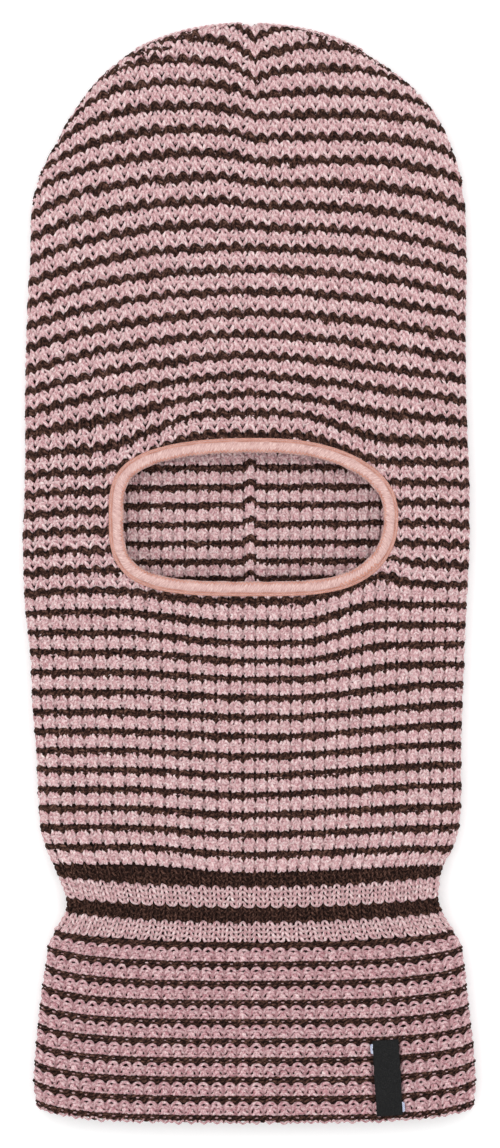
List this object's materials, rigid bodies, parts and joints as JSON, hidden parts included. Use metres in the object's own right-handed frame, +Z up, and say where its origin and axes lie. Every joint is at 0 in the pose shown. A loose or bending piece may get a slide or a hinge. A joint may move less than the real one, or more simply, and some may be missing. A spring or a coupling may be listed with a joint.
{
  "type": "knitted balaclava",
  "caption": "Striped chunky-knit balaclava lying flat: domed head with a bound eye opening, ribbed neck and flared collar that folds up at the neck.",
  "frame": {"origin": "middle of the footprint of the balaclava lying flat on its back layer, at the surface it lies on", "axes": "+X across the front to its right as seen, +Y from the collar to the crown, +Z up out of the front layer"},
  "size_m": [0.1884, 0.467, 0.0185],
  "materials": {
    "head_knit": "two-colour striped chunky acrylic knit, soft and matt",
    "neck_rib": "one-by-one rib knit with two dark bands, matt",
    "collar_knit": "two-colour striped chunky knit, purl side out, matt",
    "seam_yarn": "linked seam in the knit's own yarn, matt",
    "hem_yarn": "dark cast-on edge yarn, matt",
    "binding_satin": "rolled binding covered with close satin stitches, slight sheen",
    "binding_thread": "fine sewing thread, slight sheen",
    "label_weave": "plain woven damask, matt black",
    "tack_thread": "fine sewing thread, slight sheen"
  },
  "bodies": {
    "head": {"head_front": "head_knit", "head_back_left": "head_knit", "head_back_right": "head_knit", "head_back_seam": "seam_yarn", "crown_dart_front": "seam_yarn", "crown_dart_left": "seam_yarn", "crown_dart_right": "seam_yarn", "eye_binding": "binding_satin", "binding_stitches_outer": "binding_thread", "binding_stitches_inner": "binding_thread", "binding_join": "binding_satin", "neck_rib_front": "neck_rib", "neck_rib_back_left": "neck_rib", "neck_rib_back_right": "neck_rib", "neck_back_seam": "seam_yarn"},
    "collar": {"collar_front": "collar_knit", "collar_back_left": "collar_knit", "collar_back_right": "collar_knit", "collar_back_seam": "seam_yarn", "collar_hem": "hem_yarn", "woven_label": "label_weave", "label_tack_upper": "tack_thread", "label_tack_lower": "tack_thread"}
  },
  "joints": [
    {"name": "neck_fold", "type": "hinge", "parent": "head", "child": "collar", "pos_m": [0, -0.132, 0.0156], "axis": [-1, 0, 0], "range_deg": [0, 170], "deforming": ["neck_rib_front", "neck_rib_back_left", "neck_rib_back_right", "neck_back_seam"]}
  ]
}
